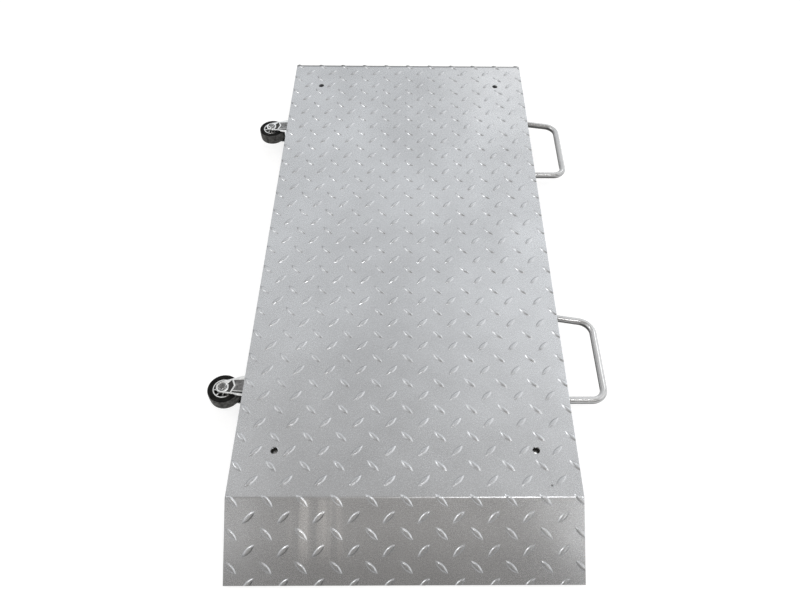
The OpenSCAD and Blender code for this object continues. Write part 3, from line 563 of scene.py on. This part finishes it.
tread_lugs = join_pieces(lug_groups)
tread_lugs.name = "tread_lugs"
tread_lugs.data.name = "tread_lugs"
bpy.ops.object.mode_set(mode="EDIT")
trim((deck_half - edge_bevel, 0, 0), (1, 0, 0))
trim((edge_bevel - deck_half, 0, 0), (-1, 0, 0))
trim((0, sheet_rear - edge_bevel, 0), (0, 1, 0))
trim((0, sheet_front + edge_bevel, 0), (0, -1, 0))
for arc_start, arc in ((flat_rear, skirt_arc), (flat_front, -ramp_arc)):
    for step in range(lug_fold_cuts + 1):
        bpy.ops.mesh.select_all(action="SELECT")
        bpy.ops.mesh.bisect(plane_co=(0, arc_start + arc * step / lug_fold_cuts, 0), plane_no=(0, 1, 0))
bpy.ops.object.mode_set(mode="OBJECT")
for vertex in tread_lugs.data.vertices:
    vertex.co = fold_over(vertex.co)
hand_over(tread_lugs, deck_paint_and_shade, "platform")


# The handles: round bar bent to a U, one leg square to the right-hand rail and one leaning, pushed
# through the rail's web and welded round with a rippled bead, then painted with the frame.
bar_radius = 0.007
bar_sides = 28
near_bend = 0.024
far_bend = 0.031
handle_legs = 0.190
handle_lean = math.radians(10)
bend_steps = 14
bead_rings = ((0.0050, 0.0), (0.0042, 0.0020), (0.0022, 0.0036), (-0.0006, 0.0048))
bead_sides = 36
bead_ripple = 1.05
bead_ripple_step = 3
bead_ripple_reach = 0.0040
rail_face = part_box("right_side_rail")[1].x
bar_shades = ((0.50, 0.505, 0.51, 1), (0.58, 0.585, 0.59, 1))
bar_metal = 0.45
bar_rough = (0.10, 0.17)
# Painted shade: the bar's side that faces down, inwards and towards the near end is darkened to near-black.
shade_side = Vector((-0.60, -0.35, -0.72))
shade_side_fade = (0.10, 0.30, 0.0, 0.95)
painted_shade_dark = (0.060, 0.058, 0.055, 1)


def painted_under_shade(tree, place, colour):
    """Paints shade on the bar's inner and lower side, darkening it where the surface faces away from the
    upper right.
    """
    return blend_shades(tree, fade(tree, facing(tree, shade_side), *shade_side_fade), colour, painted_shade_dark)


def bent_bar(name, node):
    """Bends one handle's bar along the solid it stands for, and says where its legs meet the rail."""
    low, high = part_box(node)
    axis_z = (low.z + high.z) / 2
    near = low.y + bar_radius
    grip = high.x - bar_radius
    lean = math.tan(handle_lean)
    far = near + handle_legs - (grip - rail_face) * lean
    far_centre = far - far_bend * math.tan((math.pi / 2 - handle_lean) / 2)
    heading = math.pi - handle_lean
    bend_out = Vector((math.sin(heading), -math.cos(heading)))
    bend_end = Vector((grip - far_bend, far_centre)) + far_bend * bend_out
    tail = Vector((low.x, near + handle_legs + (rail_face - low.x) * lean))
    bar = begin_piece(name, bpy.ops.mesh.primitive_circle_add, vertices=bar_sides, radius=bar_radius,
                      location=(low.x, near, axis_z), rotation=(0, math.pi / 2, 0))
    bpy.ops.object.mode_set(mode="EDIT")
    push(x=grip - near_bend - low.x)
    bpy.ops.mesh.spin(steps=bend_steps, angle=-math.pi / 2, axis=(0, 0, 1),
                      center=(grip - near_bend, near + near_bend, axis_z))
    push(y=far_centre - near - near_bend)
    bpy.ops.mesh.spin(steps=bend_steps, angle=math.pi / 2 - heading, axis=(0, 0, 1),
                      center=(grip - far_bend, far_centre, axis_z))
    push(*(tail - bend_end))
    bpy.ops.mesh.select_all(action="SELECT")
    bpy.ops.mesh.fill_holes(sides=0)
    bpy.ops.mesh.normals_make_consistent(inside=False)
    bpy.ops.object.mode_set(mode="OBJECT")
    return bar, [Vector((rail_face, near + way, axis_z)) for way in (0, handle_legs)]


def weld_bead(name, place):
    """Makes the bead round one leg, where it enters the rail."""
    first, _ = bead_rings[0]
    bead = begin_piece(name, bpy.ops.mesh.primitive_circle_add, vertices=bead_sides,
                       radius=bar_radius + first, location=place, rotation=(0, math.pi / 2, 0))
    bpy.ops.object.mode_set(mode="EDIT")
    for (ring, out), (next_ring, next_out) in zip(bead_rings, bead_rings[1:]):
        push(x=next_out - out)
        ratio = (bar_radius + next_ring) / (bar_radius + ring)
        bpy.ops.transform.resize(value=(1, ratio, ratio), center_override=place)
    pick(bead, "verts", lambda middle, spot: spot.index % bead_ripple_step == 0
         and middle.x < place.x + bead_ripple_reach)
    bpy.ops.transform.resize(value=(bead_ripple, bead_ripple, bead_ripple), center_override=place)
    bpy.ops.mesh.select_all(action="SELECT")
    bpy.ops.mesh.fill_holes(sides=0)
    bpy.ops.mesh.normals_make_consistent(inside=False)
    bpy.ops.object.mode_set(mode="OBJECT")
    return bead


handle_paint_and_shade = paint_finish("handle_paint_and_shade", painted_under_shade, bar_shades, bar_metal, bar_rough)
for end in ("front", "rear"):
    bar, leg_places = bent_bar(f"{end}_handle_bar", f"{end}_handle")
    hand_over(bar, handle_paint_and_shade, "platform", [f"{end}_handle"])
    beads = [weld_bead(f"{end}_handle_welds", place) for place in leg_places]
    hand_over(join_pieces(beads), handle_paint_and_shade, "platform", smooth=50)


# The caster brackets: forks pressed from zinc-plated steel, with a ring round the axle, raised edges
# and a V-shaped crest on each leg, and painted shade in the hollows. Base plates are bolted to the left
# rail.
zinc_shades = ((0.66, 0.67, 0.67, 1), (0.90, 0.91, 0.91, 1))
painted_shade_greys = ((0.10, 0.10, 0.10, 1), (0.28, 0.28, 0.28, 1))
hollow_shade_greys = ((0.010, 0.010, 0.010, 1), (0.030, 0.029, 0.027, 1))
zinc_rough = (0.18, 0.34)
hollow_shade_rough = (0.45, 0.60)
axle_reach = 0.042
leg_end = 0.0125
leg_low = -0.018
leg_high = 0.026
leg_end_steps = 24
leg_gap = 0.0155
leg_sheet = 0.0025
leg_ring = ((0.0087, -0.0004), (0.0087, 0.0012), (0.0093, 0.0016), (0.0114, 0.0016), (0.0121, 0.0010),
            (0.0121, -0.0004))
leg_panel = ((0.0180, 0.0155), (0.0230, 0.0025), (0.0190, -0.0085), (0.0424, -0.0095), (0.0424, 0.0160))
leg_shelf = ((-0.0035, 0.0117), (0.0424, 0.0259), (0.0424, 0.0154), (0.0192, 0.0144), (0.0162, 0.0150),
             (0.0130, 0.0108), (0.0086, 0.0062), (0.0000, 0.0095))
leg_hem = ((-0.0015, -0.0122), (0.0424, -0.0179), (0.0424, -0.0151), (0.0060, -0.0103), (0.0010, -0.0095))
leg_line = ((0.0200, -0.0074), (0.0424, -0.0088), (0.0424, -0.0104), (0.0195, -0.0090))
leg_crest = ((0.0152, 0.0172), (0.0213, 0.0025), (0.0155, -0.0122), (0.0186, -0.0122), (0.0247, 0.0025),
             (0.0183, 0.0172))
pressings = ((leg_panel, 0.0005), (leg_line, 0.0010), (leg_shelf, 0.0014), (leg_hem, 0.0015),
             (leg_crest, 0.0019))
shaded_hollow_below = 0.0002
shaded_panel_below = 0.0007
level_beyond = 0.9
plain_stops = (0.28, 0.68)
plain_grain = (900.0, 2.0)
plain_grain_depth = (0.08, 0.0003)
plain_detail = 3.0
base_size = (0.004, 0.070, 0.044)
base_corner = 0.006
base_corner_steps = 5
base_corner_beyond = 0.9
pressed_edge = 0.0004
round_steps = 56
wheel_places = {joint["child"]: Vector(joint["pos_m"]) for joint in frame["joints"]
                if joint.get("continuous")}


def plain_finish(name, shades, rough, metal=0.0, cloud_scale=160.0, shine=0.5):
    """A plain surface: soft clouds in its shade and gloss, and a fine grain."""
    finish, tree, output = begin_finish(name)
    place = add_node(tree, "ShaderNodeTexCoord").outputs["Object"]
    cloud = noise(tree, place, cloud_scale, plain_detail)
    coat = add_node(tree, "ShaderNodeBsdfPrincipled", {
        "Base Color": shade_between(tree, cloud, plain_stops, shades), "Metallic": metal,
        "Roughness": gloss_between(tree, cloud, rough[1], rough[0]), "Specular IOR Level": shine,
        "Normal": relief(tree, noise(tree, place, *plain_grain), *plain_grain_depth)})
    tree.links.new(coat.outputs[0], output.inputs["Surface"])
    return finish


def draw_outline(name, points, closed=True):
    """Draws an outline of edges from point to point and leaves it all selected in edit mode."""
    first, *others = [Vector(point) for point in points]
    piece = begin_piece(name, bpy.ops.mesh.primitive_plane_add, size=pressed_edge, location=first)
    bpy.ops.object.mode_set(mode="EDIT")
    bpy.ops.mesh.select_mode(type="VERT")
    bpy.ops.mesh.select_all(action="SELECT")
    bpy.ops.mesh.merge(type="CENTER")
    last = first
    for point in others:
        push(*(point - last))
        last = point
    if closed:
        ends = (first, last)
        pick(piece, "verts", lambda middle, spot: min((middle - end).length for end in ends)
             < pressed_edge / 100)
        bpy.ops.mesh.edge_face_add()
    bpy.ops.mesh.select_all(action="SELECT")
    return piece


def paint_faces(piece, finish, test):
    """Gives the faces of a finished piece that pass the test a finish of their own."""
    piece.data.materials.append(finish)
    for face in piece.data.polygons:
        if test(face.center, face.normal):
            face.material_index = len(piece.data.materials) - 1


def set_at(piece, name, place):
    """Copies a piece that was modelled about the wheel's middle to its place."""
    copied = copy_piece(piece, name)
    copied.location = place
    bpy.ops.object.transform_apply(location=True, rotation=True, scale=True)
    return copied


def turned(name, outline, closed=True):
    """Turns an outline, given as points of radius and height, round the Z axis."""
    piece = draw_outline(name, [(radius, 0, height) for radius, height in outline], closed)
    bpy.ops.mesh.spin(steps=round_steps, angle=2 * math.pi, center=(0, 0, 0), axis=(0, 0, 1))
    bpy.ops.mesh.select_all(action="SELECT")
    bpy.ops.mesh.remove_doubles(threshold=pressed_edge / 100)
    bpy.ops.mesh.normals_make_consistent(inside=False)
    bpy.ops.object.mode_set(mode="OBJECT")
    return piece


def pressed(name, points, height):
    """Raises an outline out of a leg's upper side, as a closed pressing with rounded edges."""
    raised = draw_outline(name, [(x, y, leg_top - pressed_edge) for x, y in points])
    bpy.ops.mesh.edge_face_add()
    push(z=height + pressed_edge)
    bpy.ops.mesh.select_all(action="SELECT")
    bpy.ops.mesh.fill_holes(sides=0)
    bpy.ops.mesh.normals_make_consistent(inside=False)
    bpy.ops.object.mode_set(mode="OBJECT")
    bevel_edges(raised, pressed_edge)
    return raised


zinc_plate = plain_finish("zinc_plate", zinc_shades, zinc_rough, metal=1.0)
zinc_painted_shade = plain_finish("zinc_painted_shade", painted_shade_greys, zinc_rough, metal=1.0)
hollow_shade = plain_finish("hollow_shade", hollow_shade_greys, hollow_shade_rough)

leg_top = leg_gap + leg_sheet
leg_turns = []
for side in (leg_high, leg_low):
    touch = math.acos(leg_end / math.hypot(axle_reach, side))
    leg_turns.append(math.atan2(side, axle_reach) + math.copysign(touch, side))
leg_sweep = 2 * math.pi + leg_turns[1] - leg_turns[0]
leg_outline = [(axle_reach + pressed_edge, leg_high, leg_top)]
for step in range(leg_end_steps + 1):
    turn = leg_turns[0] + leg_sweep * step / leg_end_steps
    leg_outline.append((leg_end * math.cos(turn), leg_end * math.sin(turn), leg_top))
leg_outline.append((axle_reach + pressed_edge, leg_low, leg_top))

bracket = draw_outline("caster_bracket", leg_outline)
bpy.ops.mesh.edge_face_add()
bpy.ops.mesh.normals_make_consistent(inside=False)
bpy.ops.object.mode_set(mode="OBJECT")
apply_modifier(bracket, "SOLIDIFY", thickness=leg_sheet, offset=-1.0)
bevel_edges(bracket, pressed_edge)
ring = turned("caster_ring", [(radius, leg_top + height) for radius, height in leg_ring])
bracket = join_pieces([bracket, ring, *(pressed("caster_pressing", *shape) for shape in pressings)])
apply_modifier(bracket, "MIRROR", use_axis=(False, False, True), use_mirror_merge=False)

base = begin_piece("caster_base", bpy.ops.mesh.primitive_cube_add, size=1, scale=base_size,
                   location=(axle_reach + base_size[0] / 2, 0, 0))
bpy.ops.object.mode_set(mode="EDIT")
base_quarter = base_size[1] * base_size[2] / 4
pick(base, "edges", lambda middle, edge: abs(middle.y * middle.z) > base_corner_beyond * base_quarter)
bpy.ops.mesh.bevel(offset=base_corner, segments=base_corner_steps, affect="EDGES")
bpy.ops.mesh.select_all(action="SELECT")
bpy.ops.transform.translate(value=(0, (leg_high + leg_low) / 2, 0))
bpy.ops.object.mode_set(mode="OBJECT")
bevel_edges(base, pressed_edge)
bracket = join_pieces([bracket, base])

for wheel, place in wheel_places.items():
    end = wheel.split("_")[0]
    fork = set_at(bracket, f"{end}_fork", place)
    hand_over(fork, zinc_plate, "platform", [f"{end}_caster_bracket"], smooth=40)
    # Painted shade: the leg's low panel is dark grey zinc and its bare face between the pressings is
    # near-black.
    paint_faces(fork, zinc_painted_shade, lambda middle, normal: abs(normal.z) > level_beyond
                and abs(abs(middle.z - place.z) - leg_top) < shaded_panel_below)
    paint_faces(fork, hollow_shade, lambda middle, normal: abs(normal.z) > level_beyond
                and abs(abs(middle.z - place.z) - leg_top) < shaded_hollow_below)
bpy.data.objects.remove(bracket)


# The wheels: solid rubber tyres on plated cores with a rim, a web and eight ribs, each turning on a
# sleeve round its axle bolt. Their treads are grey with dust, and the cores' recessed web carries painted
# shade.
tyre_shades = ((0.003, 0.003, 0.003, 1), (0.010, 0.010, 0.0095, 1))
dust_shades = ((0.045, 0.045, 0.043, 1), (0.200, 0.200, 0.193, 1))
rubber_rough = (0.50, 0.66)
rubber_shine = 0.12
tyre_outer = 0.030
tyre_half = 0.014
tyre_shoulder = 0.004
tyre_shoulder_turns = (90, 75, 60, 45, 30, 15, 0)
tyre_seam = 0.0002
tread_below = 0.6
tyre_side = ((0.0200, 0.0122), (0.0205, 0.0133), (0.0216, 0.0138), (0.0234, 0.0140), (0.0237, 0.0137),
             (0.0243, 0.0137), (0.0246, 0.0140))
core_side = ((0.00615, 0.01475), (0.0089, 0.01475), (0.0095, 0.0141), (0.0098, 0.0036), (0.0106, 0.0025),
             (0.0160, 0.0025), (0.0168, 0.0034), (0.0170, 0.0118), (0.0176, 0.0125), (0.0194, 0.0125),
             (0.0200, 0.0119))
rib_size = (0.0083, 0.0026, 0.0168)
rib_middle = 0.01335
rib_count = 8
core_hollow = 0.0034


def both_sides(side):
    """Adds a wheel's lower side, the mirror of its upper one."""
    return list(side) + [(radius, -height) for radius, height in reversed(side)]


black_tyre = plain_finish("black_tyre", tyre_shades, rubber_rough, cloud_scale=70.0, shine=rubber_shine)
tread_dust = plain_finish("tread_dust", dust_shades, rubber_rough, cloud_scale=140.0, shine=rubber_shine)
shoulder = [(tyre_outer + tyre_shoulder * (math.cos(math.radians(turn)) - 1),
             tyre_half + tyre_shoulder * (math.sin(math.radians(turn)) - 1)) for turn in tyre_shoulder_turns]
tyre_upper = list(tyre_side) + shoulder
tyre_outline = tyre_upper + [(tyre_outer + tyre_seam, 0)] + both_sides(tyre_upper)[len(tyre_upper):]
tyre = turned("tyre", tyre_outline)
core = turned("core", both_sides(core_side))
rib = begin_piece("rib", bpy.ops.mesh.primitive_cube_add, size=1, scale=rib_size,
                  location=(rib_middle, 0, 0))
bevel_edges(rib, pressed_edge)
for turn in range(rib_count):
    next_rib = copy_piece(rib, "rib")
    next_rib.rotation_euler.z = 2 * math.pi * turn / rib_count
    bpy.ops.object.transform_apply(location=True, rotation=True, scale=True)
    core = join_pieces([core, next_rib])
bpy.data.objects.remove(rib)

for wheel, place in wheel_places.items():
    end = wheel.split("_")[0]
    wheel_tyre = set_at(tyre, f"{end}_rubber", place)
    hand_over(wheel_tyre, black_tyre, wheel, [f"{end}_tyre"], smooth=40)
    paint_faces(wheel_tyre, tread_dust, lambda middle, normal: abs(normal.z) < tread_below
                and (middle - place).xy.length > tyre_outer - tyre_shoulder)
    wheel_core = set_at(core, f"{end}_core", place)
    hand_over(wheel_core, zinc_plate, wheel, [f"{end}_wheel_core"], smooth=40)
    # Painted shade: the core's web and the middle of its ribs are near-black.
    paint_faces(wheel_core, hollow_shade, lambda middle, normal: abs(middle.z - place.z) < core_hollow)
bpy.data.objects.remove(tyre)
bpy.data.objects.remove(core)


# The casters' bolts: zinc-plated hexagon bolts, one axle bolt with a washer through each fork and
# four short bolts that hold each base plate to the rail, with their nuts inside the rail.
axle_flats = 0.013
axle_top = 0.023
axle_radius = 0.004
axle_end = -0.025
washer_radius = 0.0085
washer_height = 0.0013
fixing_flats = 0.008
fixing_head = 0.0035
fixing_radius = 0.0025
fixing_length = 0.0139
fixing_places = [(along, height) for along in (-0.028, 0.028) for height in (-0.014, 0.014)]
chamfer_share = 0.11


def cylinder(name, radius, low, high, sides=40):
    """Makes an upright cylinder between two heights, with its edges rounded."""
    made = begin_piece(name, bpy.ops.mesh.primitive_cylinder_add, vertices=sides, radius=radius,
                       depth=high - low, location=(0, 0, (low + high) / 2))
    bevel_edges(made, pressed_edge)
    return made


def hexagon_head(name, flats, low, high):
    """Makes a bolt's hexagon head with its top chamfered."""
    head = begin_piece(name, bpy.ops.mesh.primitive_cylinder_add, vertices=6, radius=flats / math.sqrt(3),
                       depth=high - low, location=(0, 0, (low + high) / 2))
    bpy.ops.object.mode_set(mode="EDIT")
    pick(head, "edges", lambda middle, edge: middle.z > high - pressed_edge / 10)
    bpy.ops.mesh.bevel(offset=chamfer_share * flats, segments=2, affect="EDGES")
    bpy.ops.object.mode_set(mode="OBJECT")
    bevel_edges(head, pressed_edge / 2)
    return head


axle = join_pieces([hexagon_head("axle", axle_flats, leg_top + washer_height, axle_top),
                    cylinder("washer", washer_radius, leg_top, leg_top + washer_height),
                    cylinder("shank", axle_radius, axle_end, leg_top + washer_height / 2)])
fixing = join_pieces([hexagon_head("fixing", fixing_flats, 0, fixing_head),
                      cylinder("shank", fixing_radius, -fixing_length, pressed_edge)])
fixing.rotation_euler.y = -math.pi / 2
bpy.ops.object.transform_apply(location=True, rotation=True, scale=True)
fixings = []
for wheel, place in wheel_places.items():
    end = wheel.split("_")[0]
    bolt = set_at(axle, f"{end}_axle", place)
    hand_over(bolt, zinc_plate, "platform", [f"{end}_axle_bolt"])
    # Painted shade: the upward flat faces of the washer and the bolt head are dark grey zinc, so only the
    # chamfers stay bright.
    paint_faces(bolt, zinc_painted_shade, lambda middle, normal: normal.z > level_beyond)
    for along, height in fixing_places:
        spot = place + Vector((axle_reach, (leg_high + leg_low) / 2 + along, height))
        fixings.append(set_at(fixing, "caster_fixings", spot))
hand_over(join_pieces(fixings), zinc_plate, "platform", ["caster_bolts"])
bpy.data.objects.remove(axle)
bpy.data.objects.remove(fixing)
dress(("caster_nuts", "front_axle_nut", "rear_axle_nut", "front_axle_sleeve", "rear_axle_sleeve"),
      zinc_plate)


# The load cells: nickel-plated steel beams bolted under welded pads near the deck's corners, each
# with two socket bolts and washers, and a lock nut that holds the levelling foot's stud.
nickel_shades = ((0.40, 0.385, 0.35, 1), (0.60, 0.58, 0.53, 1))
nickel_rough = (0.24, 0.36)
corners = ("front_left", "front_right", "rear_left", "rear_right")

nickel_plate = plain_finish("nickel_plate", nickel_shades, nickel_rough, metal=1.0)
dress([f"{corner}_cell" for corner in corners], nickel_plate)
dress(("cell_bolts", "cell_washers", "lock_nuts"), zinc_plate)


# The levelling feet: a plated stud screwed into each load cell, turning in a domed steel cup that
# stands on a moulded rubber pad. The stud's slotted top shows in the deck's access hole.
rubber_shades = ((0.012, 0.012, 0.012, 1), (0.030, 0.030, 0.029, 1))
pad_outline = ((0, 0), (0.0200, 0), (0.0216, 0.0008), (0.0220, 0.0020), (0.0220, 0.0046), (0.0214, 0.0056),
               (0.0200, 0.0060), (0, 0.0060))
cup_outline = ((0, 0.0060), (0.0196, 0.0060), (0.0200, 0.0064), (0.0200, 0.0112), (0.0194, 0.0132),
               (0.0178, 0.0150), (0.0155, 0.0159), (0.0140, 0.0160), (0.0070, 0.0160), (0.0063, 0.0154),
               (0.0063, 0.013175), (0.01035, 0.013175), (0.01035, 0.008825), (0, 0.008825))

black_rubber = plain_finish("black_rubber", rubber_shades, rubber_rough, cloud_scale=90.0)
pad = turned("pad", pad_outline, closed=False)
cup = turned("cup", cup_outline, closed=False)
for corner in corners:
    low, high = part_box(f"{corner}_cup")
    place = Vector(((low.x + high.x) / 2, (low.y + high.y) / 2, 0))
    hand_over(set_at(pad, f"{corner}_rubber_foot", place), black_rubber, f"{corner}_foot",
              [f"{corner}_foot_pad"])
    hand_over(set_at(cup, f"{corner}_domed_cup", place), zinc_plate, f"{corner}_foot",
              [f"{corner}_cup"])
bpy.data.objects.remove(pad)
bpy.data.objects.remove(cup)
dress([f"{corner}_stud" for corner in corners], zinc_plate)


# The junction box: a moulded plastic case hung under the deck, with a gasket and a screwed lid,
# five cable glands, and a summing board with its terminal blocks inside.
plastic_shades = ((0.235, 0.245, 0.255, 1), (0.290, 0.300, 0.310, 1))
plastic_rough = (0.42, 0.56)
board_shades = ((0.010, 0.085, 0.035, 1), (0.016, 0.120, 0.050, 1))

grey_plastic = plain_finish("grey_plastic", plastic_shades, plastic_rough, cloud_scale=40.0)
board_laminate = plain_finish("board_laminate", board_shades, plastic_rough)
dress(("junction_box", "box_lid", "cable_glands", "terminal_blocks"), grey_plastic)
dress(("summing_board",), board_laminate)
dress(("box_gasket",), black_rubber)
dress(("lid_screws", "box_studs"), zinc_plate)
